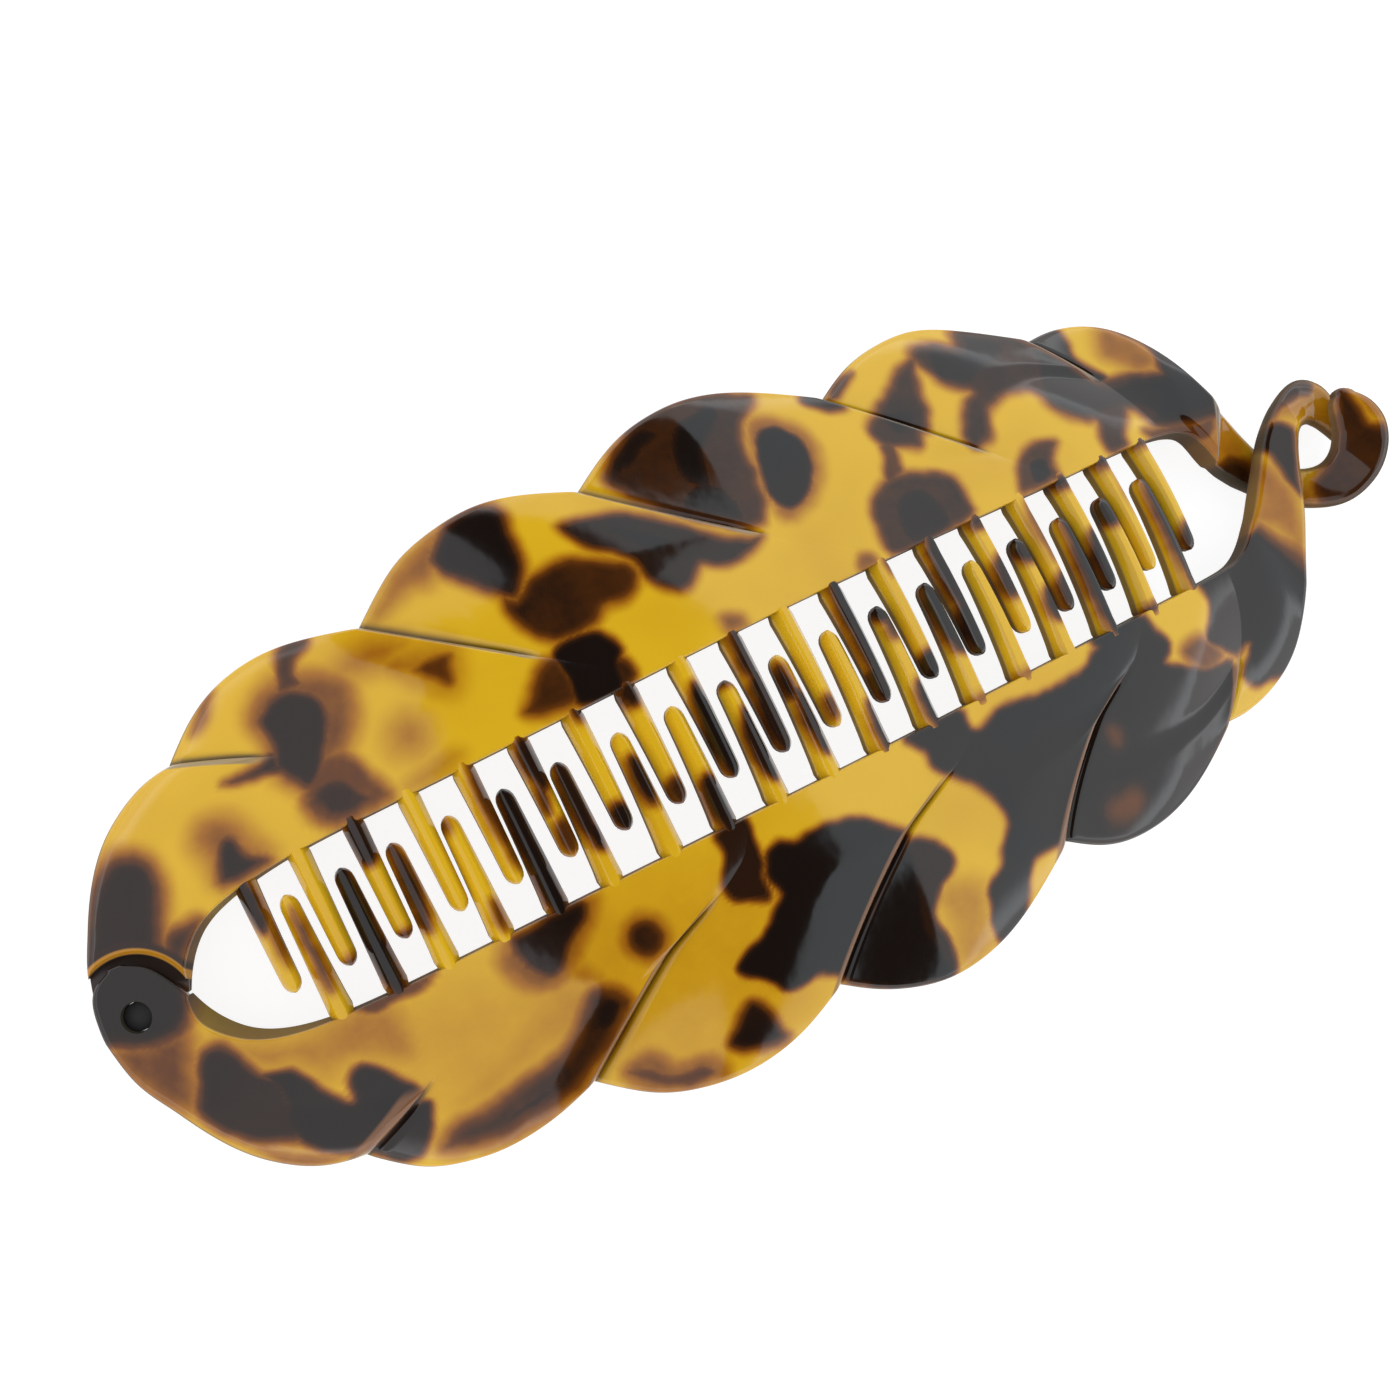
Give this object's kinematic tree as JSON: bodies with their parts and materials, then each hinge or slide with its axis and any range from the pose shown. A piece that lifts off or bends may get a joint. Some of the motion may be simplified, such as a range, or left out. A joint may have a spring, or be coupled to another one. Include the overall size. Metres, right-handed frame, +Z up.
{
  "type": "banana hair clip",
  "caption": "Arched banana hair clip: two scalloped comb halves with interlocking teeth, hinged at one end and closed by hooks at the other.",
  "frame": {"origin": "centre of the clip's footprint, on the surface it lies on, closed and arched side up", "axes": "+X from the hinge to the hook clasp along the clip, +Y across it towards the upper half, +Z up out of the arched face"},
  "size_m": [0.1374, 0.0582, 0.0171],
  "materials": {
    "tortoiseshell_lower": "polished, amber with dark brown blotches",
    "tortoiseshell_upper": "polished, amber with dark brown blotches",
    "hinge_pin": "dark, recessed"
  },
  "bodies": {
    "lower": {"lower_half": "tortoiseshell_lower", "hinge_pin": "hinge_pin"},
    "upper": {"upper_half": "tortoiseshell_upper"}
  },
  "joints": [
    {"name": "hinge", "type": "hinge", "parent": "lower", "child": "upper", "pos_m": [-0.06568, 0.00035, 0.00428], "axis": [-0.4163, 0, 0.9092], "range_deg": [0, 90]}
  ]
}
